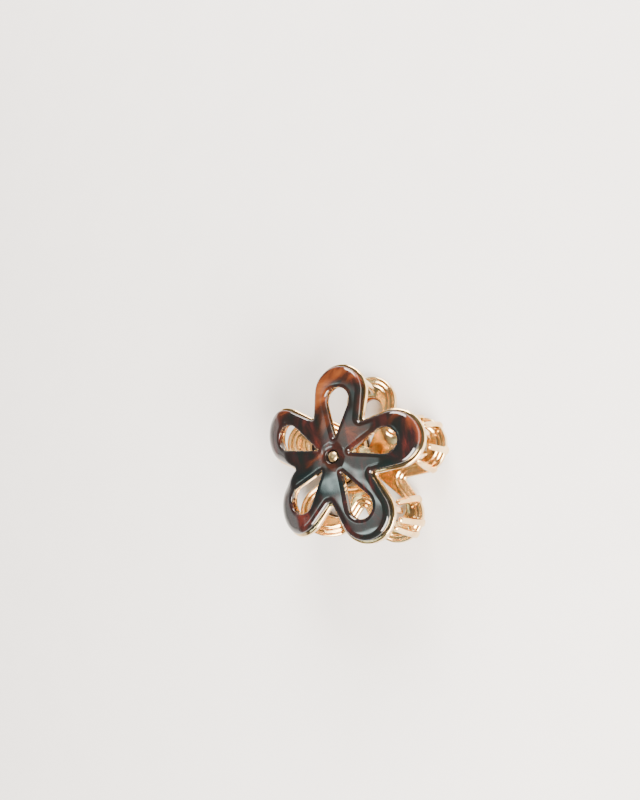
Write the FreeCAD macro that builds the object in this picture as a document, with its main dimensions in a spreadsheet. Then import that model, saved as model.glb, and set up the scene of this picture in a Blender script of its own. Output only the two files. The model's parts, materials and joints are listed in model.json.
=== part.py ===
import FreeCAD, Part

import math
import os

import Sketcher

# Flower claw clip. Two spring-loaded jaws, each a five-petal open flower: a metal frame with claw
# teeth, an acetate overlay on its outer face and a rivet through the hub.
# The clip lies on the outer face of its lower jaw. X is the hinge axis, the claws point to -Y, the
# handles to +Y, and +Z is up. A jaw is drawn flat first, in its own frame: the hub at the origin, the
# face where frame and overlay meet at z = 0, the outer side up and the claws towards -Y.

doc = FreeCAD.newDocument("flower_claw_clip")
V = FreeCAD.Vector
PETALS = 5
HALF_PETAL = 180.0 / PETALS

SIZES = {
    # flower outline
    "petal_tip": 35.0,           # hub centre to the frame's petal tip
    "petal_round": 10.9,         # radius of the frame's round petal end
    "bezel": 1.2,                # frame left showing round the overlay
    "notch_centre": 18.8,        # hub centre to the centre of the frame's notch rounding
    "notch_round": 0.8,
    "overlay_notch_centre": 17.7,
    "overlay_notch_round": 1.0,
    "hole_point": 7.0,           # hub centre to the pointed end of an overlay hole
    "hole_centre": 21.0,
    "hole_round": 4.85,
    "hole_lip": 0.6,             # the frame's holes are this much wider than the overlay's
    "frame_hole_point": 5.8,
    "outline_reach": 90.0,
    # section through the jaw
    "frame_thick": 2.3,
    "overlay_thick": 2.7,
    "claw_bend_start": 16.0,
    "claw_bend_round": 70.0,
    "claw_bend_angle": 22.0,
    "fold_start": 17.0,
    "fold_round": 4.0,
    "fold_angle": 30.0,
    "fold_length": 24.0,
    "slab_width": 90.0,
    # how the jaws stand to each other
    "jaw_half_gap": 14.2,        # mid-plane to the frame's outer face at the hub
    "hinge_back": 8.0,           # hub to hinge axis, towards the handles
    # hinge
    "pin_radius": 1.0,
    "pin_clearance": 0.04,
    "ear_thick": 1.8,
    "outer_ear": 11.1,
    "inner_ear": 9.0,
    "ear_round": 3.0,
    "ear_front": 0.5,
    "ear_back": 11.5,
    "ear_root": 0.8,
    "pin_head_radius": 1.7,
    "pin_head_thick": 0.8,
    "pin_head_dome": 0.55,
    "pin_head_play": 0.2,
    # teeth
    "tooth_radius": 1.35,
    "upper_tooth_inset": 1.3,    # rim to the middle line of a tooth's root
    "lower_tooth_inset": 0.3,
    "tooth_sink": 1.45,
    "tooth_curve": 32.0,
    "tooth_overlap": 1.9,
    # rivet
    "rivet_shank": 1.1,
    "rivet_clearance": 0.05,
    "rivet_head": 1.95,
    "rivet_rise": 0.75,          # straight side of the head
    "rivet_dome": 0.45,
    "rivet_tail": 1.9,
    "rivet_tail_thick": 0.7,
    "rivet_tail_dome": 0.5,
    "recess_radius": 2.9,
    "recess_depth": 1.25,
    # spring
    "coil_radius": 2.9,
    "wire_radius": 0.5,
    "wire_knee": 0.52,           # radius of the wire where it bends
    "coil_half": 6.6,
    "coil_turns": 11.0,
    "leg_lean": 33.0,
    "leg_x": 2.5,
    "leg_y": 5.2,
    "leg_gap": 0.06,
    "leg_foot": 2.2,
}

sheet = doc.addObject("Spreadsheet::Sheet", "sizes")
for row, (alias, value) in enumerate(SIZES.items(), start=1):
    sheet.set("A%d" % row, alias)
    sheet.set("B%d" % row, str(value))
    sheet.setAlias("B%d" % row, alias)
doc.recompute()


def size(alias):
    return float(sheet.get(alias))


def rad(degrees):
    return math.radians(degrees)


def cell(text):
    """An expression in which each <alias> stands for the spreadsheet's cell of that name."""
    for alias in SIZES:
        text = text.replace("<" + alias + ">", "sizes." + alias)
    return text


def origin_plane(body, role):
    for feature in body.Origin.OriginFeatures:
        if feature.Role == role:
            return feature
    raise ValueError(role)


def new_body(name):
    return doc.addObject("PartDesign::Body", name)


def new_sketch(body, name, role, lift=None):
    sketch = body.newObject("Sketcher::SketchObject", name)
    sketch.AttachmentSupport = (origin_plane(body, role), [""])
    sketch.MapMode = "FlatFace"
    if lift is not None:
        sketch.setExpression(".AttachmentOffset.Base.z", cell(lift))
    return sketch


def bind(sketch, constraint, expression):
    """Adds a dimension to the sketch and ties it to the spreadsheet."""
    index = sketch.addConstraint(constraint)
    sketch.setExpression("Constraints[%d]" % index, cell(expression))


def line(start, end):
    return Part.LineSegment(V(start[0], start[1], 0), V(end[0], end[1], 0))


def arc(centre, radius, start, end):
    circle = Part.Circle(V(centre[0], centre[1], 0), V(0, 0, 1), radius)
    return Part.ArcOfCircle(circle, rad(start), rad(end))


def close_loop(sketch, count):
    """Joins the end of each of the first pieces to the start of the next."""
    for i in range(count):
        sketch.addConstraint(Sketcher.Constraint("Coincident", i, 2, (i + 1) % count, 1))


def polygon(sketch, points):
    for i, point in enumerate(points):
        sketch.addGeometry(line(point, points[(i + 1) % len(points)]), False)
    close_loop(sketch, len(points))


def slab(body, low, high):
    """The bent plate a flower is cut from, between two offsets of the face at z = 0."""
    sketch = new_sketch(body, body.Name + "_section", "YZ_Plane")
    start = -size("claw_bend_start")
    bend = size("claw_bend_round")
    turn = size("claw_bend_angle")
    fold_at = size("fold_start")
    fold = size("fold_round")
    angle = size("fold_angle")
    reach = size("fold_length")
    down = (math.cos(rad(angle)), -math.sin(rad(angle)))

    def claw_end(offset):
        r = bend + offset
        return (start - r * math.sin(rad(turn)), -bend + r * math.cos(rad(turn)))

    def fold_end(offset):
        r = fold + offset
        return (fold_at + r * math.sin(rad(angle)), -fold + r * math.cos(rad(angle)))

    def tip(offset):
        point = fold_end(offset)
        return (point[0] + reach * down[0], point[1] + reach * down[1])

    top = (sketch.addGeometry(arc((start, -bend), bend + high, 90, 90 + turn), False),
           sketch.addGeometry(line((start, high), (fold_at, high)), False),
           sketch.addGeometry(arc((fold_at, -fold), fold + high, 90 - angle, 90), False),
           sketch.addGeometry(line(fold_end(high), tip(high)), False))
    bottom = (sketch.addGeometry(arc((start, -bend), bend + low, 90, 90 + turn), False),
              sketch.addGeometry(line((start, low), (fold_at, low)), False),
              sketch.addGeometry(arc((fold_at, -fold), fold + low, 90 - angle, 90), False),
              sketch.addGeometry(line(fold_end(low), tip(low)), False))
    sketch.addGeometry(line(claw_end(high), claw_end(low)), False)
    sketch.addGeometry(line(tip(high), tip(low)), False)
    for side, offset in ((top, high), (bottom, low)):
        sketch.addConstraint(Sketcher.Constraint("Tangent", side[0], 1, side[1], 1))
        sketch.addConstraint(Sketcher.Constraint("Tangent", side[1], 2, side[2], 2))
        sketch.addConstraint(Sketcher.Constraint("Tangent", side[2], 1, side[3], 1))
        sketch.addConstraint(Sketcher.Constraint("Horizontal", side[1]))
    for end, piece in ((8, 0), (9, 3)):
        sketch.addConstraint(Sketcher.Constraint("Coincident", end, 1, top[piece], 2))
        sketch.addConstraint(Sketcher.Constraint("Coincident", end, 2, bottom[piece], 2))
    sketch.addConstraint(Sketcher.Constraint("Coincident", top[0], 3, bottom[0], 3))
    sketch.addConstraint(Sketcher.Constraint("Coincident", top[2], 3, bottom[2], 3))
    bind(sketch, Sketcher.Constraint("DistanceX", top[0], 3, -1, 1, -start), "<claw_bend_start>")
    bind(sketch, Sketcher.Constraint("DistanceX", -1, 1, top[2], 3, fold_at), "<fold_start>")
    bind(sketch, Sketcher.Constraint("Radius", top[0], bend + high),
         "<claw_bend_round> + %s" % offset_cell(high))
    bind(sketch, Sketcher.Constraint("Radius", top[2], fold + high),
         "<fold_round> + %s" % offset_cell(high))
    pad = body.newObject("PartDesign::Pad", body.Name + "_slab")
    pad.Profile = sketch
    pad.SideType = "Symmetric"
    pad.setExpression("Length", cell("<slab_width>"))
    return pad


def offset_cell(offset):
    """The spreadsheet name of one of the slab's offsets."""
    if offset == 0:
        return "0"
    return "<overlay_thick>" if offset > 0 else "-<frame_thick>"


def gap_cut(body, tip, petal_round, notch, notch_round):
    """Cuts away what lies between two petals, all round the hub."""
    sketch = new_sketch(body, body.Name + "_gap", "XY_Plane")
    reach = size("outline_reach")
    centre_r = tip - petal_round
    half = HALF_PETAL
    cx = centre_r * math.cos(rad(half))
    cy = centre_r * math.sin(rad(half))
    apart = math.hypot(cx - notch, cy)
    along = math.degrees(math.atan2(cy, cx - notch))
    lean = math.degrees(math.acos((petal_round + notch_round) / apart))
    # the side of the petal touches the notch rounding and the petal's round end
    touch = along + lean
    near = (notch + notch_round * math.cos(rad(touch)), notch_round * math.sin(rad(touch)))
    far = (cx - petal_round * math.cos(rad(touch)), cy - petal_round * math.sin(rad(touch)))
    end = (tip * math.cos(rad(half)), tip * math.sin(rad(half)))
    out = (reach * math.cos(rad(half)), reach * math.sin(rad(half)))
    # turned a half petal so that the claw axis, -Y, runs through a petal
    turned = -90.0 + half

    def spin(point):
        c = math.cos(rad(turned))
        s = math.sin(rad(turned))
        return (point[0] * c - point[1] * s, point[0] * s + point[1] * c)

    def flip(point):
        return (point[0], -point[1])

    side = 180.0 + touch
    pieces = (
        arc(spin((notch, 0)), notch_round, turned + touch, turned + 360 - touch),
        line(spin(flip(near)), spin(flip(far))),
        arc(spin((cx, -cy)), petal_round, turned - half, turned - side + 360),
        line(spin(flip(end)), spin(flip(out))),
        line(spin(flip(out)), spin(out)),
        line(spin(out), spin(end)),
        arc(spin((cx, cy)), petal_round, turned + side - 360, turned + half),
        line(spin(far), spin(near)),
    )
    for piece in pieces:
        sketch.addGeometry(piece, False)
    joins = ((0, 2, 1, 1), (1, 2, 2, 2), (2, 1, 3, 1), (3, 2, 4, 1), (4, 2, 5, 1), (5, 2, 6, 2),
             (6, 1, 7, 1), (7, 2, 0, 1))
    for first, first_end, second, second_end in joins:
        sketch.addConstraint(Sketcher.Constraint("Coincident", first, first_end, second, second_end))
    pocket = body.newObject("PartDesign::Pocket", body.Name + "_gap_cut")
    pocket.Profile = sketch
    pocket.Type = "ThroughAll"
    pocket.SideType = "Symmetric"
    return petal_pattern(body, pocket, "_gaps")


def petal_pattern(body, feature, suffix):
    pattern = body.newObject("PartDesign::PolarPattern", body.Name + suffix)
    pattern.Originals = [feature]
    pattern.Axis = (origin_plane(body, "Z_Axis"), [""])
    pattern.Angle = 360.0
    pattern.Occurrences = PETALS
    body.Tip = pattern
    return pattern


def hole_cut(body, point, centre, radius, names):
    """Cuts the petals' teardrop holes, pointed towards the hub."""
    sketch = new_sketch(body, body.Name + "_hole", "XY_Plane")
    lean = math.degrees(math.acos(radius / (centre - point)))
    touch_x = radius * math.sin(rad(lean))
    touch_y = -centre + radius * math.cos(rad(lean))
    sketch.addGeometry(arc((0, -centre), radius, -270 + lean, 90 - lean), False)
    sketch.addGeometry(line((touch_x, touch_y), (0, -point)), False)
    sketch.addGeometry(line((0, -point), (-touch_x, touch_y)), False)
    sketch.addConstraint(Sketcher.Constraint("Tangent", 0, 2, 1, 1))
    sketch.addConstraint(Sketcher.Constraint("Coincident", 1, 2, 2, 1))
    sketch.addConstraint(Sketcher.Constraint("Tangent", 2, 2, 0, 1))
    sketch.addConstraint(Sketcher.Constraint("PointOnObject", 0, 3, -2))
    sketch.addConstraint(Sketcher.Constraint("PointOnObject", 1, 2, -2))
    bind(sketch, Sketcher.Constraint("Radius", 0, radius), names[2])
    bind(sketch, Sketcher.Constraint("DistanceY", 0, 3, -1, 1, centre), names[1])
    bind(sketch, Sketcher.Constraint("DistanceY", 1, 2, -1, 1, point), names[0])
    pocket = body.newObject("PartDesign::Pocket", body.Name + "_hole_cut")
    pocket.Profile = sketch
    pocket.Type = "ThroughAll"
    pocket.SideType = "Symmetric"
    return petal_pattern(body, pocket, "_holes")


def round_cut(body, name, radius, expression, lift=None, depth=None):
    """A round hole at the hub, through the plate or down from its outer face."""
    sketch = new_sketch(body, body.Name + name, "XY_Plane", lift)
    sketch.addGeometry(Part.Circle(V(0, 0, 0), V(0, 0, 1), radius), False)
    sketch.addConstraint(Sketcher.Constraint("Coincident", 0, 3, -1, 1))
    bind(sketch, Sketcher.Constraint("Radius", 0, radius), expression)
    pocket = body.newObject("PartDesign::Pocket", body.Name + name + "_cut")
    pocket.Profile = sketch
    if depth is None:
        pocket.Type = "ThroughAll"
        pocket.SideType = "Symmetric"
    else:
        pocket.setExpression("Length", cell(depth))
    body.Tip = pocket
    return pocket


def overlay(name):
    """Acetate flower: bent plate, outline, petal holes and the recess for the rivet's head."""
    body = new_body(name)
    slab(body, 0.0, size("overlay_thick"))
    gap_cut(body, size("petal_tip") - size("bezel"), size("petal_round") - size("bezel"),
            size("overlay_notch_centre"), size("overlay_notch_round"))
    hole_cut(body, size("hole_point"), size("hole_centre"), size("hole_round"),
             ("<hole_point>", "<hole_centre>", "<hole_round>"))
    round_cut(body, "_bore", size("rivet_shank") + size("rivet_clearance"),
              "<rivet_shank> + <rivet_clearance>")
    round_cut(body, "_recess", size("recess_radius"), "<recess_radius>", "<overlay_thick>",
              "<recess_depth>")
    return body


def ears(body, inner_face):
    """Two hinge ears under the frame, round about the hinge axis, with the pin's holes."""
    hinge_y = size("hinge_back")
    hinge_z = -size("jaw_half_gap")
    radius = size("ear_round")
    sketch = new_sketch(body, body.Name + "_ear", "YZ_Plane", inner_face)
    root = -size("ear_root")

    def touch(corner, side):
        span = math.hypot(corner[0] - hinge_y, corner[1] - hinge_z)
        along = math.atan2(corner[1] - hinge_z, corner[0] - hinge_y)
        turn = along + side * math.acos(radius / span)
        return turn, (hinge_y + radius * math.cos(turn), hinge_z + radius * math.sin(turn))

    front = (size("ear_front"), root)
    back = (size("ear_back"), root)
    front_turn, front_touch = touch(front, 1)
    back_turn, back_touch = touch(back, -1)
    sketch.addGeometry(line(back, front), False)
    sketch.addGeometry(line(front, front_touch), False)
    sketch.addGeometry(arc((hinge_y, hinge_z), radius, math.degrees(front_turn),
                           math.degrees(back_turn) + 360), False)
    sketch.addGeometry(line(back_touch, back), False)
    sketch.addGeometry(Part.Circle(V(hinge_y, hinge_z, 0), V(0, 0, 1),
                                   size("pin_radius") + size("pin_clearance")), False)
    close_loop(sketch, 4)
    sketch.addConstraint(Sketcher.Constraint("Coincident", 4, 3, 2, 3))
    bind(sketch, Sketcher.Constraint("Radius", 2, radius), "<ear_round>")
    bind(sketch, Sketcher.Constraint("DistanceX", -1, 1, 2, 3, hinge_y), "<hinge_back>")
    bind(sketch, Sketcher.Constraint("DistanceY", 2, 3, -1, 1, -hinge_z), "<jaw_half_gap>")
    bind(sketch, Sketcher.Constraint("Radius", 4, size("pin_radius") + size("pin_clearance")),
         "<pin_radius> + <pin_clearance>")
    pad = body.newObject("PartDesign::Pad", body.Name + "_ear_pad")
    pad.Profile = sketch
    pad.setExpression("Length", cell("<ear_thick>"))
    mirror = body.newObject("PartDesign::Mirrored", body.Name + "_ears")
    mirror.Originals = [pad]
    mirror.MirrorPlane = (origin_plane(body, "YZ_Plane"), [""])
    body.Tip = mirror


def face_height(y):
    """Height of the bent face z = 0 of the slab at y, on the claw side."""
    past = max(0.0, -y - size("claw_bend_start"))
    bend = size("claw_bend_round")
    return math.sqrt(bend * bend - past * past) - bend


def tooth(name, petal, around, inset):
    """One claw: a round bar that curves from the petal's rim inwards past the mid-plane.

    petal is the petal's direction and around the tooth's place round the petal's end, both in
    degrees from the claw axis.
    """
    reach = size("petal_tip") - size("petal_round")
    rim = size("petal_round") - inset
    aim = petal + around

    def out(angle, distance):
        return V(math.sin(rad(angle)) * distance, -math.cos(rad(angle)) * distance, 0)

    root = out(petal, reach) + out(aim, rim)
    root.z = face_height(root.y) - size("tooth_sink")
    radius = size("tooth_radius")
    curve = size("tooth_curve")
    depth = root.z + size("jaw_half_gap") + size("tooth_overlap") - radius
    sweep = math.degrees(math.asin(depth / curve))
    # the torus lies upright in the plane through the tooth and the petal's centre
    centre = root - out(aim, curve)
    across = out(aim, 1.0)
    upright = FreeCAD.Rotation(across, V(0, 0, -1), V(0, 0, 0), "XYZ")
    bar = doc.addObject("Part::Torus", name + "_bar")
    bar.setExpression("Radius1", cell("<tooth_curve>"))
    bar.setExpression("Radius2", cell("<tooth_radius>"))
    bar.Angle3 = sweep
    bar.Placement = FreeCAD.Placement(centre, upright)
    tip = centre + across * (curve * math.cos(rad(sweep))) - V(0, 0, curve * math.sin(rad(sweep)))
    ends = []
    for label, place in (("_root", root), ("_tip", tip)):
        ball = doc.addObject("Part::Sphere", name + label)
        ball.setExpression("Radius", cell("<tooth_radius>"))
        ball.Placement = FreeCAD.Placement(place, upright)
        ends.append(ball)
    return [bar] + ends


def frame(name, ear_face, teeth, inset):
    """Metal jaw: bent flower plate with hinge ears and claw teeth, one casting."""
    body = new_body(name + "_plate")
    slab(body, -size("frame_thick"), 0.0)
    gap_cut(body, size("petal_tip"), size("petal_round"), size("notch_centre"), size("notch_round"))
    hole_cut(body, size("frame_hole_point"), size("hole_centre"), size("hole_round") + size("hole_lip"),
             ("<frame_hole_point>", "<hole_centre>", "<hole_round> + <hole_lip>"))
    round_cut(body, "_bore", size("rivet_shank") + size("rivet_clearance"),
              "<rivet_shank> + <rivet_clearance>")
    ears(body, ear_face)
    parts = [body]
    for index, (petal, around) in enumerate(teeth):
        parts += tooth("%s_tooth_%d" % (name, index), petal, around, inset)
    fuse = doc.addObject("Part::MultiFuse", name)
    fuse.Shapes = parts
    fuse.Refine = True
    return fuse


def revolved(name, points):
    """A turned piece: its half outline, in the sketch's own x and y, turned about the y axis."""
    body = new_body(name)
    sketch = new_sketch(body, name + "_outline", "XZ_Plane")
    polygon(sketch, points)
    turned = body.newObject("PartDesign::Revolution", name + "_turned")
    turned.Profile = sketch
    turned.ReferenceAxis = (sketch, ["V_Axis"])
    turned.Angle = 360.0
    return body


def dome(radius, base, rise, steps=5):
    """Points of a flat dome from its rim to its crown."""
    curve = (radius * radius + rise * rise) / (2 * rise)
    full = math.asin(radius / curve)
    points = []
    for i in range(steps + 1):
        angle = full * (1 - i / steps)
        points.append((curve * math.sin(angle), base + rise - curve * (1 - math.cos(angle))))
    return points


def rivet(name):
    """Domed head in the overlay's recess, shank through both plates, peened tail inside."""
    floor = size("overlay_thick") - size("recess_depth")
    under = -size("frame_thick")
    tail = under - size("rivet_tail_thick")
    shank = size("rivet_shank")
    head = size("rivet_head")
    crown = dome(head, floor + size("rivet_rise"), size("rivet_dome"))
    foot = dome(size("rivet_tail"), 0.0, size("rivet_tail_dome"))
    foot = [(x, tail + size("rivet_tail_dome") - y) for x, y in reversed(foot)]
    outline = foot + [(size("rivet_tail"), under), (shank, under), (shank, floor), (head, floor)]
    return revolved(name, outline + crown)


def hinge_pin(name):
    """Plain pin along the hinge axis with a peened head outside each outer ear."""
    outside = size("outer_ear") + size("ear_thick") + size("pin_head_play")
    head = size("pin_head_radius")
    straight = size("pin_head_thick") - size("pin_head_dome")
    crown = dome(head, outside + straight, size("pin_head_dome"))
    upper = [(size("pin_radius"), outside), (head, outside)] + crown
    lower = [(x, -y) for x, y in reversed(upper)]
    return revolved(name, lower + upper)


def torsion_spring(name):
    """Coil round the hinge pin with a leg to each jaw, both on the handle side."""
    wire = size("wire_radius")
    radius = size("coil_radius")
    half = size("coil_half")
    lean = size("leg_lean")
    turns = size("coil_turns") - 2 * lean / 360.0
    pitch = 2 * half / turns
    helix = Part.makeHelix(pitch, 2 * half, radius)
    profile = Part.Wire([Part.Circle(V(radius, 0, 0), V(0, 1, 0), wire).toShape()])
    coil = Part.Wire(helix).makePipeShell([profile], True, True)
    # the helix stands along Z: lay its axis along X and turn its start to the lower leg
    along_x = FreeCAD.Rotation(V(0, 1, 0), V(0, 0, 1), V(1, 0, 0), "ZXY")
    coil.Placement = FreeCAD.Placement(V(-half, 0, 0), along_x)
    coil = coil.rotated(V(0, 0, 0), V(1, 0, 0), lean)
    bearing = size("jaw_half_gap") - size("frame_thick") - wire - size("leg_gap")
    solids = [coil]
    for side in (-1, 1):
        start = V(side * half, radius * math.cos(rad(lean)), -side * radius * math.sin(rad(lean)))
        knee = V(side * size("leg_x"), size("leg_y"), side * bearing)
        foot = knee + V(0, size("leg_foot"), 0)
        for first, second in ((start, knee), (knee, foot)):
            step = second - first
            solids.append(Part.makeCylinder(wire, step.Length, first, step))
        for ball in (start, knee, foot):
            solids.append(Part.makeSphere(size("wire_knee"), ball))
    feature = doc.addObject("Part::Feature", name)
    feature.Shape = solids[0].fuse(solids[1:])
    return feature


# Placements: a jaw's own frame into the clip, whose mid-plane is z = 0 with the hinge at the origin.
UPPER = FreeCAD.Placement(V(0, -size("hinge_back"), size("jaw_half_gap")), FreeCAD.Rotation())
LOWER = FreeCAD.Placement(V(0, 0, 0), FreeCAD.Rotation(V(0, 1, 0), 180)).multiply(UPPER)
ACROSS = FreeCAD.Placement(V(0, 0, 0), FreeCAD.Rotation(V(0, 1, 0), 90))

# Teeth as (petal direction, place round the petal), in degrees from the claw axis. The two jaws'
# teeth stand between each other, and only one side of the lower jaw has side teeth.
SIDE_PETAL = 2 * HALF_PETAL
UPPER_TEETH = [(0, 0), (0, 52.5), (0, -52.5)]
for hand in (1, -1):
    UPPER_TEETH += [(hand * SIDE_PETAL, -hand * turn) for turn in (66.5, -13.0)]
LOWER_TEETH = [(0, 28), (0, -28), (0, 77), (0, -77)]
LOWER_TEETH += [(SIDE_PETAL, -turn) for turn in (14.0, 41.0, 91.0)]

pieces = [
    (frame("upper_jaw_frame", "<outer_ear>", UPPER_TEETH, size("upper_tooth_inset")), UPPER),
    (frame("lower_jaw_frame", "<inner_ear>", LOWER_TEETH, size("lower_tooth_inset")), LOWER),
    (overlay("upper_flower_overlay"), UPPER),
    (overlay("lower_flower_overlay"), LOWER),
    (rivet("upper_rivet"), UPPER),
    (rivet("lower_rivet"), LOWER),
    (hinge_pin("hinge_pin"), ACROSS),
    (torsion_spring("torsion_spring"), FreeCAD.Placement()),
]
doc.recompute()

for piece, place in pieces:
    piece.Label = piece.Name
    piece.Placement = place
doc.recompute()

# the clip lies on the lower flower, centred over the origin
box = FreeCAD.BoundBox()
for piece, place in pieces:
    box.add(piece.Shape.optimalBoundingBox(False, False))
shift = V(0, -box.Center.y, size("jaw_half_gap") + size("overlay_thick"))
laid = FreeCAD.Placement(shift, FreeCAD.Rotation())
for piece, place in pieces:
    piece.Placement = laid.multiply(place)
doc.recompute()

for item in doc.Objects:
    if "Invalid" in item.State or "Error" in item.State:
        raise RuntimeError("%s: %s" % (item.Name, item.State))
for piece, place in pieces:
    if piece.Shape.isNull() or not piece.Shape.isValid():
        raise RuntimeError(piece.Label + " has no valid shape")

os.makedirs("parts", exist_ok=True)
for piece, place in pieces:
    piece.Shape.exportStep("parts/%s.step" % piece.Label)
    box = piece.Shape.optimalBoundingBox(False, False)
    print("%-22s %2d solids %9.1f mm3  x %.2f %.2f  y %.2f %.2f  z %.2f %.2f" % (
        piece.Label, len(piece.Shape.Solids), piece.Shape.Volume,
        box.XMin, box.XMax, box.YMin, box.YMax, box.ZMin, box.ZMax))
print("hinge axis at", shift)
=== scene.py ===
import json
import math

import bmesh
import bpy
from mathutils import Matrix, Vector


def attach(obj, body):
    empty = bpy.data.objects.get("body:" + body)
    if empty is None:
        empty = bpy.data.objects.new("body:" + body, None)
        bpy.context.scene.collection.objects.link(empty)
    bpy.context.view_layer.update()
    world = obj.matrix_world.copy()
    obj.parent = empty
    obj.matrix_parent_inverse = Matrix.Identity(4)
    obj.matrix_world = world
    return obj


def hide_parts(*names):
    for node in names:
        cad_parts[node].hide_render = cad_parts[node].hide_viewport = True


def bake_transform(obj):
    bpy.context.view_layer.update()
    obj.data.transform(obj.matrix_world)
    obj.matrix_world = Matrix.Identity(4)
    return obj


# Flower claw clip: two jaws of plated metal under marbled acetate flowers.
# Lengths here are millimetres, turned into metres when a piece is put in place.
# A jaw is shaped flat in its own frame first: hub at the origin, claws towards -Y, the face where
# frame and overlay meet at z = 0 and the outer side up.

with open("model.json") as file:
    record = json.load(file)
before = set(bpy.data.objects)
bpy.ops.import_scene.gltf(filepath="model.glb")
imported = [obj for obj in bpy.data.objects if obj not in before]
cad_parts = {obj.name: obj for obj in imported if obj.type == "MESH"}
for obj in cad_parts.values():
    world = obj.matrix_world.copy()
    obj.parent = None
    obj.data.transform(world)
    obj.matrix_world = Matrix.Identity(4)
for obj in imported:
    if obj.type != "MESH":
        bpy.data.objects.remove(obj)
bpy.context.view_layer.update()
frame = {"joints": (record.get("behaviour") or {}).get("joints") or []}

MM = 0.001
PETALS = 5
STEP = 2 * math.pi / PETALS
HALF = STEP / 2

# flower outline; a notch is its distance from the hub and its radius
PETAL_TIP = 35.0
PETAL_ROUND = 10.9
BEZEL = 1.2
FRAME_NOTCH = (18.8, 0.8)
OVERLAY_NOTCH = (17.7, 1.0)
HOLE_CENTRE = 21.0
HOLE_ROUND = 4.85
HOLE_LIP = 0.6
HOLE_POINT = 7.0
HOLE_TIP = 0.35
FRAME_HOLE_POINT = 6.0
FRAME_HOLE_TIP = 0.5
RIVET_BORE = 1.0

# section through a jaw, and how the jaws stand to each other
FRAME_THICK = 2.3
OVERLAY_THICK = 2.7
CLAW_BEND_START = 16.0
CLAW_BEND = 70.0
FOLD_START = 17.0
FOLD_ROUND = 4.0
FOLD_ANGLE = math.radians(30)
JAW_HALF_GAP = 14.2
HINGE_BACK = 8.0

HINGE = Vector(frame["joints"][0]["pos_m"])
LAID = Matrix.Translation(HINGE) @ Matrix.Scale(MM, 4)
JAW = Matrix.Translation((0, -HINGE_BACK, JAW_HALF_GAP))
UPPER = LAID @ JAW
LOWER = LAID @ Matrix.Rotation(math.pi, 4, "Y") @ JAW


# ---------------------------------------------------------------- outlines

def spread(low, high, count):
    return [low + (high - low) * i / (count - 1) for i in range(count)]


def arc(centre, radius, start, end, count):
    return [(centre[0] + radius * math.cos(a), centre[1] + radius * math.sin(a))
            for a in spread(start, end, count)]


def straight(start, end, count):
    return [(start[0] + (end[0] - start[0]) * t, start[1] + (end[1] - start[1]) * t)
            for t in spread(0, 1, count)]


def flip(point):
    return (point[0], -point[1])


def turned(points, angle):
    c = math.cos(angle)
    s = math.sin(angle)
    return [(x * c - y * s, x * s + y * c) for x, y in points]


def flower_loop(tip, petal_round, notch, inset):
    """The flower's outline, moved inwards by inset, as points (x, y)."""
    notch_at, notch_round = notch
    centre = tip - petal_round
    cx = centre * math.cos(HALF)
    cy = centre * math.sin(HALF)
    big = petal_round - inset
    small = notch_round + inset
    apart = math.hypot(cx - notch_at, cy)
    touch = math.atan2(cy, cx - notch_at) + math.acos((petal_round + notch_round) / apart)
    below = 2 * math.pi - touch
    petal_end = arc((cx, -cy), big, -HALF, math.pi - touch, 26)
    notch_end = arc((notch_at, 0), small, below, touch, 15)
    start = petal_end[-1]
    stop = notch_end[0]
    # from one petal's tip, round the notch beside it, to the next petal's tip
    points = petal_end[:-1]
    points += straight(start, stop, 12)[:-1]
    points += notch_end[:-1]
    points += straight(flip(stop), flip(start), 12)[:-1]
    points += arc((cx, cy), big, touch - math.pi, HALF, 26)[:-1]
    loop = []
    for petal in range(PETALS):
        loop += turned(points, petal * STEP + HALF - math.pi / 2)
    return loop


def hole_loop(petal, point, centre, radius, tip_round, inset):
    """One teardrop hole, widened by inset, pointed towards the hub."""
    big = radius + inset
    small = tip_round + inset
    apex = point + tip_round
    lean = math.acos((radius - tip_round) / (centre - apex))
    points = arc((centre, 0), big, lean - math.pi, math.pi - lean, 44)
    tip = arc((apex, 0), small, math.pi - lean, math.pi + lean, 13)
    start = points[-1]
    stop = tip[0]
    points += straight(start, stop, 16)[1:-1]
    points += tip
    points += straight(flip(stop), flip(start), 16)[1:-1]
    return turned(points, petal * STEP - math.pi / 2)


def circle_loop(radius, count=48):
    return [(radius * math.cos(2 * math.pi * i / count), radius * math.sin(2 * math.pi * i / count))
            for i in range(count)]


def bent(x, y, h):
    """Puts a point of the flat flower, h above the mating face, on the bent jaw."""
    if y < -CLAW_BEND_START:
        r = CLAW_BEND + h
        past = -y - CLAW_BEND_START
        return Vector((x, y, math.sqrt(r * r - past * past) - CLAW_BEND))
    if y <= FOLD_START:
        return Vector((x, y, h))
    r = FOLD_ROUND + h
    end = r * math.sin(FOLD_ANGLE)
    past = y - FOLD_START
    if past < end:
        return Vector((x, y, math.sqrt(r * r - past * past) - FOLD_ROUND))
    drop = r * math.cos(FOLD_ANGLE) - FOLD_ROUND
    return Vector((x, y, drop - (past - end) * math.tan(FOLD_ANGLE)))


# ---------------------------------------------------------------- mesh helpers

# where the flat plates are cut across, so that they can bend there
CLAW_CUTS = spread(-34.0, -CLAW_BEND_START, 13)
FOLD_CUTS = spread(FOLD_START, FOLD_START + 3.9, 9)
CUT_MERGE = 0.0005


def new_object(name, bm, matrix, smooth_angle=32.0):
    bmesh.ops.recalc_face_normals(bm, faces=bm.faces[:])
    mesh = bpy.data.meshes.new(name)
    bm.to_mesh(mesh)
    bm.free()
    mesh.transform(matrix)
    for polygon in mesh.polygons:
        polygon.use_smooth = True
    mesh.set_sharp_from_angle(angle=math.radians(smooth_angle))
    obj = bpy.data.objects.new(name, mesh)
    bpy.context.scene.collection.objects.link(obj)
    return obj


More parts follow.
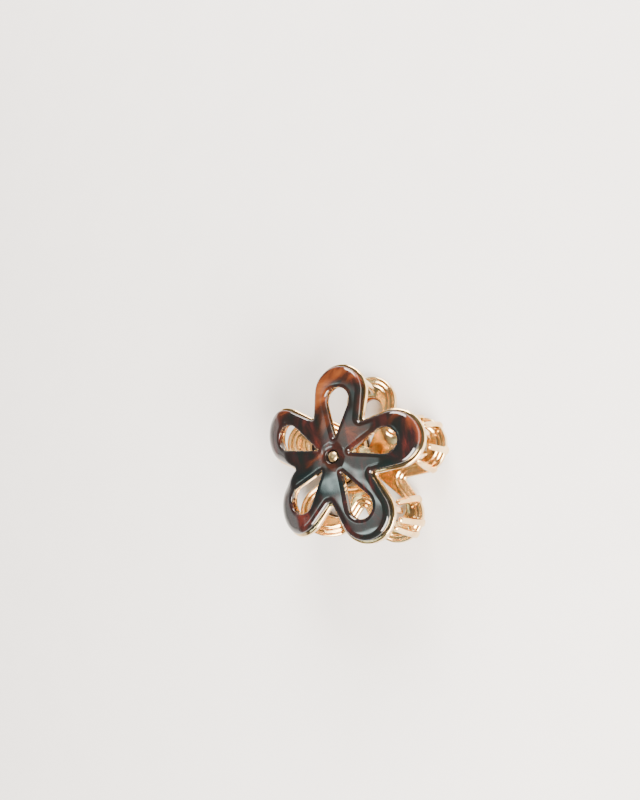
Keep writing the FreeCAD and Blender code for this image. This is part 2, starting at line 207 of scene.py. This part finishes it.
def ring(bm, loop, height, edge_layer=None, edge=0.0):
    verts = []
    for x, y in loop:
        vert = bm.verts.new((x, y, height))
        if edge_layer is not None:
            vert[edge_layer] = edge
        verts.append(vert)
    return verts


def bridge(bm, first, second):
    count = len(first)
    for i in range(count):
        j = (i + 1) % count
        bm.faces.new((first[i], first[j], second[j], second[i]))


def bridge_all(bm, rings):
    for first, second in zip(rings, rings[1:]):
        bridge(bm, first, second)


def skin(bm, rings):
    """A closed surface through a row of rings, capped at both ends."""
    bridge_all(bm, rings)
    bm.faces.new(rings[0])
    bm.faces.new(rings[-1])


def ring_edges(bm, verts):
    edges = []
    for i, vert in enumerate(verts):
        following = verts[(i + 1) % len(verts)]
        edges.append(bm.edges.get((vert, following)) or bm.edges.new((vert, following)))
    return edges


def fill_between(bm, loops):
    """Fills the flat region bounded by the first loop, with the other loops as holes in it."""
    edges = []
    for verts in loops:
        edges += ring_edges(bm, verts)
    bmesh.ops.triangle_fill(bm, use_beauty=True, use_dissolve=False, edges=edges)


def bend_mesh(bm):
    """Cuts the flat mesh across its bends, then lays it on the bent jaw."""
    for y in CLAW_CUTS + FOLD_CUTS:
        geometry = bm.verts[:] + bm.edges[:] + bm.faces[:]
        bmesh.ops.bisect_plane(bm, geom=geometry, dist=CUT_MERGE, plane_co=(0, y, 0), plane_no=(0, 1, 0))
    for vert in bm.verts:
        vert.co = bent(*vert.co)


# ---------------------------------------------------------------- acetate flower

# painted glow: how strongly the acetate's base colour turns to a bright amber that stands in for light
# shining through it, at its rim, round a hole, round the rivet, on its top
RIM_PAINTED_GLOW = 1.0
HOLE_PAINTED_GLOW = 0.55
HUB_PAINTED_GLOW = 0.25
TOP_PAINTED_GLOW = 0.2
OVERLAY_BASE = 0.05              # just clear of the metal


def pillow(width, wall, painted_glow):
    """A rounded edge's profile: distance in from the edge, height and weight of the painted light through
    the acetate.
    """
    rise = OVERLAY_THICK - wall
    points = [(0.0, OVERLAY_BASE, painted_glow), (0.0, wall, painted_glow)]
    for t in spread(0, 1, 15)[1:]:
        turn = t * math.pi / 2
        points.append((width * (1 - math.cos(turn)), wall + rise * math.sin(turn),
                       painted_glow + (TOP_PAINTED_GLOW - painted_glow) * t ** 0.8))
    return points


OVERLAY_EDGE = pillow(2.3, 1.55, RIM_PAINTED_GLOW)
HOLE_EDGE = pillow(1.7, 1.75, HOLE_PAINTED_GLOW)
# radius and height down the wall of the rivet's recess and across its floor
RECESS = ((2.9, 2.70), (2.78, 2.66), (2.72, 2.58), (2.70, 1.50), (2.66, 1.46), (1.0, 1.45))


def make_overlay(name, matrix):
    bm = bmesh.new()
    # the "edge" layer holds each point's weight of painted glow, which is light through the acetate painted
    # into its colour
    layer = bm.verts.layers.float.new("edge")
    tip = PETAL_TIP - BEZEL
    big = PETAL_ROUND - BEZEL
    outer = [ring(bm, flower_loop(tip, big, OVERLAY_NOTCH, inset), height, layer, painted_glow)
             for inset, height, painted_glow in OVERLAY_EDGE]
    bridge_all(bm, outer)
    tops = [outer[-1]]
    bases = [outer[0]]
    for petal in range(PETALS):
        rings = []
        for inset, height, painted_glow in HOLE_EDGE:
            loop = hole_loop(petal, HOLE_POINT, HOLE_CENTRE, HOLE_ROUND, HOLE_TIP, inset)
            rings.append(ring(bm, loop, height, layer, painted_glow))
        bridge_all(bm, rings)
        tops.append(rings[-1])
        bases.append(rings[0])
    recess = [ring(bm, circle_loop(r), h, layer, HUB_PAINTED_GLOW) for r, h in RECESS]
    recess.append(ring(bm, circle_loop(RIVET_BORE), OVERLAY_BASE, layer, HUB_PAINTED_GLOW))
    bridge_all(bm, recess)
    tops.append(recess[0])
    bases.append(recess[-1])
    fill_between(bm, tops)
    fill_between(bm, bases)
    bend_mesh(bm)
    return new_object(name, bm, matrix, 50.0)


# ---------------------------------------------------------------- metal jaw

# profiles of the plate's rim and of its holes' rims: distance in from the edge, and height
RIM_EDGE = ((0.60, 0.0), (0.42, -0.03), (0.24, -0.10), (0.10, -0.22), (0.02, -0.42), (0.0, -0.65),
            (0.0, -1.55), (0.03, -1.80), (0.12, -2.04), (0.28, -2.22))
HOLE_RIM_START = 0.50
HOLE_RIM = ((0.34, -2.12), (0.20, -2.16), (0.08, -2.06), (0.0, -1.85), (0.0, -0.45),
            (0.06, -0.2), (0.2, -0.06), (0.4, 0.0))
# ribs on the inner face, which run round the flower inside its rim
RIDGE_START = 0.45
RIDGE_FIRST = 0.62
RIDGE_LAST = 4.12
RIDGE_PITCH = 1.75
RIDGE_DEPTH = 0.52
RIDGE_SUNK = 0.05

# teeth: the middle line's curve and place, and the half widths of the squared bar
TOOTH_CURVE = 32.0
TOOTH_SINK = 1.45
TOOTH_OVERLAP = 1.9
TOOTH_RADIUS = 1.35
TOOTH_HALF_WIDTH = 1.28
TOOTH_HALF_DEPTH = 1.12
TOOTH_END = 1.25                 # length of the rounded ends
TOOTH_SQUARE = 2.8               # 2 is a round bar, more is squarer
TOOTH_FLARE = 0.22               # how much broader the root is
TOOTH_TAPER = 0.14
TINY = 0.02                      # smallest ring, so that a tip stays closed

EAR_ROUND = 3.0
EAR_THICK = 1.8
EAR_SOFT = 0.22
EAR_FRONT = 0.5
EAR_BACK = 11.5
EAR_ROOT = -0.8
EAR_SUNK = -1.9
OUTER_EAR = 11.1
INNER_EAR = 9.0

# Teeth as (petal direction, place round the petal), in degrees from the claw axis. The two jaws'
# teeth stand between each other, and only one side of the lower jaw has side teeth.
SIDE_PETAL = 72
UPPER_TEETH = [(0, 0), (0, 52.5), (0, -52.5)]
for hand in (1, -1):
    UPPER_TEETH += [(hand * SIDE_PETAL, -hand * turn) for turn in (66.5, -13.0)]
LOWER_TEETH = [(0, 28), (0, -28), (0, 77), (0, -77)]
LOWER_TEETH += [(SIDE_PETAL, -turn) for turn in (14, 41, 91)]
UPPER_TOOTH_INSET = 1.3
LOWER_TOOTH_INSET = 0.3


def ridge_height(d):
    """Height of the ribbed inner face at distance d in from the rim."""
    wave = 0.5 - 0.5 * math.cos(2 * math.pi * (d - RIDGE_FIRST) / RIDGE_PITCH)
    return -FRAME_THICK - RIDGE_SUNK + RIDGE_DEPTH * wave ** 1.3


def make_plate(bm):
    """The ribbed flower plate, still flat."""
    profile = list(RIM_EDGE) + [(d, ridge_height(d)) for d in spread(RIDGE_START, RIDGE_LAST, 23)]
    rings = [ring(bm, flower_loop(PETAL_TIP, PETAL_ROUND, FRAME_NOTCH, d), h) for d, h in profile]
    bridge_all(bm, rings)
    inner = [rings[-1]]
    outer = [rings[0]]
    hole_profile = ((HOLE_RIM_START, ridge_height(RIDGE_LAST)),) + HOLE_RIM
    for petal in range(PETALS):
        loops = []
        for d, h in hole_profile:
            loop = hole_loop(petal, FRAME_HOLE_POINT, HOLE_CENTRE, HOLE_ROUND + HOLE_LIP, FRAME_HOLE_TIP, d)
            loops.append(ring(bm, loop, h))
        bridge_all(bm, loops)
        inner.append(loops[0])
        outer.append(loops[-1])
    fill_between(bm, inner)
    fill_between(bm, outer)


def tooth_line(petal, around, inset):
    """The middle line of one tooth: (point, outward direction, length direction) from rim to tip."""
    def out(angle, distance):
        return Vector((math.sin(angle) * distance, -math.cos(angle) * distance, 0))

    aim = petal + around
    root = out(petal, PETAL_TIP - PETAL_ROUND) + out(aim, PETAL_ROUND - inset)
    root.z = bent(root.x, root.y, 0).z - TOOTH_SINK
    depth = root.z + JAW_HALF_GAP + TOOTH_OVERLAP - TOOTH_RADIUS
    sweep = math.asin(depth / TOOTH_CURVE)
    centre = root - out(aim, TOOTH_CURVE)
    across = out(aim, 1.0)
    down = Vector((0, 0, -1))
    steps = []
    for a in spread(0, sweep, 25):
        outward = across * math.cos(a) + down * math.sin(a)
        length = -across * math.sin(a) + down * math.cos(a)
        steps.append((centre + outward * TOOTH_CURVE, outward, length))
    return steps


def rounding(t):
    """Relative radius of a rounded end, t of the way from its base to its tip."""
    return math.sqrt(max(0.0, 1 - t * t))


def add_tooth(bm, petal, around, inset, sides=20):
    """A claw tooth: a rounded bar, broad at the rim, tapering to a blunt round tip."""
    steps = tooth_line(petal, around, inset)
    root = steps[0]
    tip = steps[-1]
    # each ring of the bar: its middle, outward direction, length direction and scale
    rows = []
    for t in spread(-1.0, -0.12, 6):
        rows.append((root[0] + root[2] * (t * TOOTH_END), root[1], root[2], rounding(t)))
    for t, step in zip(spread(0, 1, len(steps)), steps):
        flare = 1.0 + TOOTH_FLARE * math.exp(-t * 9)
        rows.append((*step, flare * (1.0 - TOOTH_TAPER * t)))
    for t in spread(0.15, 1.0, 7):
        swell = (1.0 - TOOTH_TAPER) * rounding(t)
        rows.append((tip[0] + tip[2] * (t * TOOTH_END), tip[1], tip[2], swell))
    rings = []
    for point, outward, length, scale in rows:
        side = outward.cross(length).normalized()
        verts = []
        for k in range(sides):
            a = 2 * math.pi * k / sides
            c = math.cos(a)
            s = math.sin(a)
            squash = (abs(c) ** TOOTH_SQUARE + abs(s) ** TOOTH_SQUARE) ** (-1 / TOOTH_SQUARE)
            offset = side * (c * squash * TOOTH_HALF_WIDTH) + outward * (s * squash * TOOTH_HALF_DEPTH)
            verts.append(bm.verts.new(point + offset * max(scale, TINY)))
        rings.append(verts)
    skin(bm, rings)


def add_ear(bm, inner, sign):
    """A hinge ear: a plate that narrows from the frame to a round end about the pin."""
    hinge_y = HINGE_BACK
    hinge_z = -JAW_HALF_GAP

    def touch(corner_y, side):
        span = math.hypot(corner_y - hinge_y, EAR_ROOT - hinge_z)
        along = math.atan2(EAR_ROOT - hinge_z, corner_y - hinge_y)
        return along + side * math.acos(EAR_ROUND / span)

    front_turn = touch(EAR_FRONT, 1)
    back_turn = touch(EAR_BACK, -1) + 2 * math.pi

    def outline(inset):
        front = (EAR_FRONT + inset, EAR_SUNK)
        back = (EAR_BACK - inset, EAR_SUNK)
        end = arc((hinge_y, hinge_z), EAR_ROUND - inset, front_turn, back_turn, 22)
        return [front] + end + [back]

    softened = EAR_SOFT * 0.3
    sections = ((0, EAR_SOFT), (softened, softened), (EAR_SOFT, 0), (EAR_THICK - EAR_SOFT, 0),
                (EAR_THICK - softened, softened), (EAR_THICK, EAR_SOFT))
    rings = []
    for x, inset in sections:
        rings.append([bm.verts.new((sign * (inner + x), y, z)) for y, z in outline(inset)])
    skin(bm, rings)


def make_frame(name, matrix, ear, teeth, inset):
    bm = bmesh.new()
    make_plate(bm)
    bend_mesh(bm)
    for petal, around in teeth:
        add_tooth(bm, math.radians(petal), math.radians(around), inset)
    for sign in (1, -1):
        add_ear(bm, ear, sign)
    return new_object(name, bm, matrix, 38.0)


# ---------------------------------------------------------------- turned pieces and spring

# turned outlines as (radius, height) points
RIVET_HEAD = 1.95
RIVET_CROWN_START = 1.72
RIVET_CROWN_RISE = 0.93
RIVET_UNDER_HEAD = [(1.1, -2.3), (1.1, 1.46), (1.82, 1.46), (1.93, 1.56)]
RIVET_TAIL = 1.9
PIN_END = [(1.0, 13.1), (1.58, 13.12), (1.68, 13.2), (1.7, 13.34)]

COIL_ROUND = 2.9
WIRE = 0.5
COIL_HALF = 6.6
COIL_TURNS = 11.0
COIL_SAMPLES = 330
LEG_LEAN = math.radians(33)
LEG_X = 2.5
LEG_Y = 5.2
LEG_FOOT = 2.2
LEG_GAP = 0.06


def lathe(bm, outline, sides=48):
    """Turns (radius, height) points about the z axis; both ends lie close to the axis."""
    rings = []
    for r, h in outline:
        rings.append([bm.verts.new((x, y, h)) for x, y in circle_loop(r, sides)])
    skin(bm, rings)


def dome(radius, base, rise, count=9):
    """Points of a flat dome from its rim to its crown."""
    curve = (radius * radius + rise * rise) / (2 * rise)
    full = math.asin(min(1.0, radius / curve))
    points = []
    for a in spread(full, 0, count + 1):
        points.append((max(TINY, curve * math.sin(a)), base + rise - curve * (1 - math.cos(a))))
    return points


def make_rivet(name, matrix):
    bm = bmesh.new()
    tail = [(r, -h) for r, h in reversed(dome(RIVET_TAIL, 2.55, 0.4))]
    crown = []
    for a in spread(0, math.pi / 2, 14):
        radius = max(TINY, RIVET_HEAD * math.cos(a))
        crown.append((radius, RIVET_CROWN_START + RIVET_CROWN_RISE * math.sin(a)))
    lathe(bm, tail + [(RIVET_TAIL, -FRAME_THICK)] + RIVET_UNDER_HEAD + crown)
    return new_object(name, bm, matrix, 40.0)


def make_pin(name):
    bm = bmesh.new()
    end = PIN_END + dome(1.66, 13.42, 0.46)
    lathe(bm, [(r, -h) for r, h in reversed(end)] + end)
    return new_object(name, bm, LAID @ Matrix.Rotation(math.pi / 2, 4, "Y"), 40.0)


def tube(bm, path, radius, sides=12):
    """A round wire along a path of points."""
    rings = []
    last = len(path) - 1
    normal = (path[1] - path[0]).normalized().orthogonal().normalized()
    for i, point in enumerate(path):
        ahead = (path[min(i + 1, last)] - path[max(i - 1, 0)]).normalized()
        normal = (normal - ahead * normal.dot(ahead)).normalized()
        side = ahead.cross(normal)
        rings.append([bm.verts.new(point + (normal * x + side * y) * radius)
                      for x, y in circle_loop(1.0, sides)])
    skin(bm, rings)


def spring_leg(start, side):
    """From the coil's end to a foot that lies along the inside of a jaw, with a rounded knee."""
    bearing = JAW_HALF_GAP - FRAME_THICK - WIRE - LEG_GAP
    knee = Vector((side * LEG_X, LEG_Y, side * bearing))
    end = knee + Vector((0, LEG_FOOT, 0))
    points = [start.lerp(knee, t) for t in spread(0.06, 0.93, 10)]
    for t in spread(0, 1, 6):
        arriving = start.lerp(knee, 0.95).lerp(knee, t)
        leaving = knee.lerp(knee.lerp(end, 0.25), t)
        points.append(arriving.lerp(leaving, t))
    return points + [knee.lerp(end, t) for t in spread(0.4, 1.0, 4)]


def make_spring(name):
    """Close-wound coil about the pin with a leg pressed against the inside of each jaw."""
    turns = COIL_TURNS - 2 * LEG_LEAN / (2 * math.pi)
    coil = []
    for t in spread(0, 1, COIL_SAMPLES + 1):
        a = LEG_LEAN + 2 * math.pi * turns * t
        coil.append(Vector((-COIL_HALF + 2 * COIL_HALF * t, COIL_ROUND * math.cos(a),
                            COIL_ROUND * math.sin(a))))
    path = list(reversed(spring_leg(coil[0], -1))) + coil + spring_leg(coil[-1], 1)
    bm = bmesh.new()
    tube(bm, path, WIRE)
    return new_object(name, bm, LAID, 60.0)


# ---------------------------------------------------------------- materials

def node_material(name):
    material = bpy.data.materials.new(name)
    material.use_nodes = True
    tree = material.node_tree
    return material, tree, tree.nodes["Principled BSDF"]


def add(tree, kind, **values):
    node = tree.nodes.new(kind)
    for key, value in values.items():
        setattr(node, key, value)
    return node


def ramp(tree, source, stops):
    node = add(tree, "ShaderNodeValToRGB")
    while len(node.color_ramp.elements) < len(stops):
        node.color_ramp.elements.new(0.5)
    for element, (position, colour) in zip(node.color_ramp.elements, stops):
        element.position = position
        element.color = (*colour, 1.0)
    tree.links.new(source, node.inputs["Fac"])
    return node


def grey_ramp(tree, source, stops):
    return ramp(tree, source, [(position, (level,) * 3) for position, level in stops])


def noise(tree, vector, scale, detail, rough, distortion=0.0):
    node = add(tree, "ShaderNodeTexNoise")
    node.inputs["Scale"].default_value = scale
    node.inputs["Detail"].default_value = detail
    node.inputs["Roughness"].default_value = rough
    node.inputs["Distortion"].default_value = distortion
    tree.links.new(vector, node.inputs["Vector"])
    return node


def mapped(tree, scale, offset=(0, 0, 0), turn=(0, 0, 0)):
    coordinates = add(tree, "ShaderNodeTexCoord")
    mapping = add(tree, "ShaderNodeMapping")
    mapping.inputs["Scale"].default_value = scale
    mapping.inputs["Location"].default_value = offset
    mapping.inputs["Rotation"].default_value = turn
    tree.links.new(coordinates.outputs["Object"], mapping.inputs["Vector"])
    return mapping.outputs["Vector"]


def mix(tree, factor, first, second):
    node = add(tree, "ShaderNodeMix", data_type="RGBA")
    tree.links.new(factor, node.inputs["Factor"])
    tree.links.new(first, node.inputs["A"])
    tree.links.new(second, node.inputs["B"])
    return node.outputs["Result"]


def ripple(tree, shader, scale, detail, rough, strength, distance):
    """A faint unevenness of the surface, from noise."""
    height = noise(tree, mapped(tree, (scale,) * 3), 1.0, detail, rough)
    bump = add(tree, "ShaderNodeBump")
    bump.inputs["Strength"].default_value = strength
    bump.inputs["Distance"].default_value = distance
    tree.links.new(height.outputs["Fac"], bump.inputs["Height"])
    tree.links.new(bump.outputs["Normal"], shader.inputs["Normal"])
    return bump


def polish(tree, shader, scale, detail, rough, stops):
    """Roughness that wanders between two values."""
    patch = noise(tree, mapped(tree, (scale,) * 3), 1.0, detail, rough)
    level = grey_ramp(tree, patch.outputs["Fac"], stops)
    tree.links.new(level.outputs["Color"], shader.inputs["Roughness"])


def across_clip(tree, reach, low, high):
    """A value that runs from low to high across the clip, along the hinge."""
    coordinates = add(tree, "ShaderNodeTexCoord")
    axes = add(tree, "ShaderNodeSeparateXYZ")
    tree.links.new(coordinates.outputs["Object"], axes.inputs["Vector"])
    side = add(tree, "ShaderNodeMapRange")
    side.inputs["From Min"].default_value = -reach
    side.inputs["From Max"].default_value = reach
    side.inputs["To Min"].default_value = low
    side.inputs["To Max"].default_value = high
    tree.links.new(axes.outputs["X"], side.inputs["Value"])
    return side.outputs["Result"]


def acetate(name, offset):
    """Polished marbled acetate: near-black with rust and plum streaks, and painted light through its edges:
    towards the rims, holes and recess the base colour turns a brighter amber.
    """
    material, tree, shader = node_material(name)
    cloud = noise(tree, mapped(tree, (75, 45, 60), offset, (0.3, 0.2, 0.5)), 1.0, 4.0, 0.5, 1.2)
    streak = noise(tree, mapped(tree, (40, 120, 80), offset, (0.1, 0.3, -0.4)), 1.0, 4.0, 0.6, 1.8)
    # one side of the flower is warmer than the other
    warm = add(tree, "ShaderNodeMath", operation="ADD")
    tree.links.new(cloud.outputs["Fac"], warm.inputs[0])
    tree.links.new(across_clip(tree, 0.022, -0.20, 0.10), warm.inputs[1])
    rust = ramp(tree, warm.outputs["Value"], (
        (0.34, (0.003, 0.006, 0.006)), (0.48, (0.009, 0.006, 0.005)), (0.56, (0.040, 0.011, 0.005)),
        (0.63, (0.11, 0.028, 0.008)), (0.74, (0.21, 0.062, 0.015))))
    plum = ramp(tree, streak.outputs["Fac"], (
        (0.38, (0.004, 0.007, 0.006)), (0.54, (0.014, 0.006, 0.006)), (0.70, (0.070, 0.013, 0.010))))
    choose = noise(tree, mapped(tree, (45, 45, 45), offset), 1.0, 2.0, 0.5, 0.6)
    sway = grey_ramp(tree, choose.outputs["Fac"], ((0.42, 0.0), (0.62, 1.0)))
    body = mix(tree, sway.outputs["Color"], rust.outputs["Color"], plum.outputs["Color"])
    # painted glow: by the edge weight, the base colour is mixed towards a brighter amber that stands in for
    # light shining through the acetate
    edge = add(tree, "ShaderNodeAttribute", attribute_name="edge")
    painted_glow = ramp(tree, warm.outputs["Value"], (
        (0.40, (0.005, 0.008, 0.008)), (0.50, (0.030, 0.009, 0.006)), (0.58, (0.105, 0.017, 0.006)),
        (0.70, (0.19, 0.036, 0.009))))
    weight = grey_ramp(tree, edge.outputs["Fac"], ((0.35, 0.0), (0.98, 0.9)))
    colour = mix(tree, weight.outputs["Color"], body, painted_glow.outputs["Color"])
    tree.links.new(colour, shader.inputs["Base Color"])
    shader.inputs["IOR"].default_value = 1.5
    shader.inputs["Coat Weight"].default_value = 0.3
    shader.inputs["Coat Roughness"].default_value = 0.02
    polish(tree, shader, 300, 3.0, 0.5, ((0.3, 0.04), (0.7, 0.10)))
    wave = ripple(tree, shader, 75, 1.0, 0.3, 0.55, 0.0008)
    tree.links.new(wave.outputs["Normal"], shader.inputs["Coat Normal"])
    return material


def plating(name, base, dark, roughness, grain):
    """Champagne-gold plating: soft variation, faint casting ripple and slightly uneven polish."""
    material, tree, shader = node_material(name)
    tone = noise(tree, mapped(tree, (140, 140, 140)), 1.0, 4.0, 0.6, 0.5)
    colour = ramp(tree, tone.outputs["Fac"], ((0.35, dark), (0.62, base)))
    tree.links.new(colour.outputs["Color"], shader.inputs["Base Color"])
    shader.inputs["Metallic"].default_value = 1.0
    polish(tree, shader, 420, 5.0, 0.6, ((0.3, roughness), (0.75, roughness * 1.9)))
    ripple(tree, shader, 260, 3.0, 0.5, grain, 0.0004)
    return material


# ---------------------------------------------------------------- the clip

gold = plating("champagne_gold", (0.91, 0.69, 0.38), (0.72, 0.45, 0.19), 0.10, 0.22)
rivet_gold = plating("rivet_gold", (0.96, 0.72, 0.40), (0.86, 0.57, 0.26), 0.22, 0.15)
spring_gold = plating("spring_gold", (0.86, 0.62, 0.35), (0.72, 0.47, 0.25), 0.15, 0.08)
upper_acetate = acetate("marbled_acetate_upper", (0.2, 0.1, 0.4))
lower_acetate = acetate("marbled_acetate_lower", (1.7, 0.6, 0.9))


def finish_piece(piece, material, node):
    piece.data.materials.append(material)
    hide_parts(node)


def fasten(piece, body, material, node):
    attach(piece, body)
    finish_piece(piece, material, node)


fasten(make_frame("upper_frame", UPPER, OUTER_EAR, UPPER_TEETH, UPPER_TOOTH_INSET),
       "upper_jaw", gold, "upper_jaw_frame")
fasten(make_frame("lower_frame", LOWER, INNER_EAR, LOWER_TEETH, LOWER_TOOTH_INSET),
       "lower_jaw", gold, "lower_jaw_frame")
fasten(make_overlay("upper_overlay", UPPER), "upper_jaw", upper_acetate, "upper_flower_overlay")
fasten(make_overlay("lower_overlay", LOWER), "lower_jaw", lower_acetate, "lower_flower_overlay")
fasten(make_rivet("upper_rivet_turned", UPPER), "upper_jaw", rivet_gold, "upper_rivet")
fasten(make_rivet("lower_rivet_turned", LOWER), "lower_jaw", rivet_gold, "lower_rivet")
fasten(make_pin("pin_turned"), "lower_jaw", gold, "hinge_pin")

# the spring's legs bear on the two jaws and its coil twists between them on the real clip; here it is
# attached to neither jaw and its placement is baked into the mesh
spring = make_spring("spring_coil")
finish_piece(spring, spring_gold, "torsion_spring")
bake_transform(spring)


# ---------------------------------------------------------------- floor, light and camera

# brightness of the studio from the horizon, at 0, to straight overhead, at 1
SKY = ((0.0, 1.5), (0.10, 1.3), (0.32, 0.42), (0.60, 0.20), (1.0, 0.16))
# brightness across the window: dim panes, with two bright bars between them
WINDOW_BARS = ((0.0, 0.0), (0.14, 0.12), (0.31, 0.10), (0.36, 0.80), (0.41, 0.12), (0.58, 0.11),
               (0.64, 1.0), (0.70, 0.13), (0.86, 0.10), (1.0, 0.0))
WINDOW_FADE = ((0.0, 0.0), (0.3, 1.0), (0.7, 1.0), (1.0, 0.0))

# the camera stands this far from the upper flower's hub, in metres; lens and shifts are in parts of
# the picture's height and of the distance
CAMERA_DISTANCE = 0.2716
CAMERA_SENSOR = 36
CAMERA_FOCAL = 740 / 800
CAMERA_TOWARD_CLAWS = math.radians(26.3)
CAMERA_TOWARD_LEFT = math.radians(-11.9)
CAMERA_ROLL = math.radians(12.15)
HUB_RIGHT = 0.016
HUB_DOWN = 0.0762


def make_floor():
    bm = bmesh.new()
    bmesh.ops.create_grid(bm, x_segments=8, y_segments=8, size=1.5)
    floor = new_object("floor", bm, Matrix.Translation((0, 0, -0.0002)))
    material, tree, shader = node_material("pale_floor")
    tone = noise(tree, mapped(tree, (40, 40, 40)), 1.0, 3.0, 0.5)
    colour = ramp(tree, tone.outputs["Fac"], ((0.3, (0.84, 0.81, 0.785)), (0.7, (0.86, 0.83, 0.805))))
    tree.links.new(colour.outputs["Color"], shader.inputs["Base Color"])
    shader.inputs["Roughness"].default_value = 0.9
    floor.data.materials.append(material)


def area_light(name, position, target, size, energy, colour):
    data = bpy.data.lights.new(name, "AREA")
    data.shape = "RECTANGLE"
    data.size, data.size_y = size
    data.energy = energy
    data.color = colour
    light = bpy.data.objects.new(name, data)
    bpy.context.scene.collection.objects.link(light)
    light.location = position
    light.rotation_euler = (Vector(target) - light.location).to_track_quat("-Z", "Y").to_euler()
    return light


def as_window(light):
    """Fades a light towards its edges and brightens it in bars, as daylight between blinds."""
    light.data.use_nodes = True
    tree = light.data.node_tree
    surface = add(tree, "ShaderNodeNewGeometry")
    axes = add(tree, "ShaderNodeSeparateXYZ")
    tree.links.new(surface.outputs["Parametric"], axes.inputs["Vector"])
    across = grey_ramp(tree, axes.outputs["X"], WINDOW_BARS)
    along = grey_ramp(tree, axes.outputs["Y"], WINDOW_FADE)
    both = add(tree, "ShaderNodeMath", operation="MULTIPLY")
    for i, level in enumerate((across, along)):
        level.color_ramp.interpolation = "EASE"
        tree.links.new(level.outputs["Color"], both.inputs[i])
    tree.links.new(both.outputs["Value"], tree.nodes["Emission"].inputs["Strength"])


def make_world():
    world = bpy.data.worlds.new("studio")
    world.use_nodes = True
    tree = world.node_tree
    background = tree.nodes["Background"]
    background.inputs["Color"].default_value = (0.93, 0.88, 0.84, 1)
    direction = add(tree, "ShaderNodeTexCoord")
    axes = add(tree, "ShaderNodeSeparateXYZ")
    tree.links.new(direction.outputs["Generated"], axes.inputs["Vector"])
    sky = grey_ramp(tree, axes.outputs["Z"], SKY)
    tree.links.new(sky.outputs["Color"], background.inputs["Strength"])
    bpy.context.scene.world = world


def make_camera():
    """Looks down at the upper flower from the claws' side, rolled so that the claws point right."""
    hub = UPPER @ Vector((0, 0, OVERLAY_THICK))
    look = Vector((-math.sin(CAMERA_TOWARD_LEFT), math.sin(CAMERA_TOWARD_CLAWS), 0))
    look.z = -math.sqrt(1 - look.x ** 2 - look.y ** 2)
    side = (Vector((1, 0, 0)) - look * look.x).normalized()
    up = side * math.cos(CAMERA_ROLL) + look.cross(side) * math.sin(CAMERA_ROLL)
    axes = Matrix((look.cross(up), up, look))
    # swing the camera about its place until the hub stands off the middle of the picture
    aim = Vector((HUB_RIGHT, -HUB_DOWN, 1)).normalized()
    axes = Vector((0, 0, 1)).rotation_difference(aim).to_matrix() @ axes
    data = bpy.data.cameras.new("camera")
    data.sensor_width = CAMERA_SENSOR
    data.lens = CAMERA_FOCAL * CAMERA_SENSOR
    camera = bpy.data.objects.new("camera", data)
    bpy.context.scene.collection.objects.link(camera)
    facing = Matrix((axes[0], axes[1], -axes[2])).transposed().to_4x4()
    camera.matrix_world = Matrix.Translation(hub - look * CAMERA_DISTANCE) @ facing
    bpy.context.scene.camera = camera


make_floor()
make_world()
make_camera()
# a window behind the handles that the upper flower mirrors, a large key over the claws, and a fill
as_window(area_light("window", (0.085, 0.44, 1.0), (0, 0, 0.03), (0.56, 0.22), 5.6, (0.80, 1.0, 0.96)))
area_light("key", (-0.75, -0.55, 0.62), (0, 0, 0.02), (0.8, 0.8), 86.0, (1.0, 0.94, 0.87))
area_light("fill", (0.9, -0.30, 0.5), (0, 0, 0.02), (0.6, 0.6), 40.0, (1.0, 0.95, 0.90))
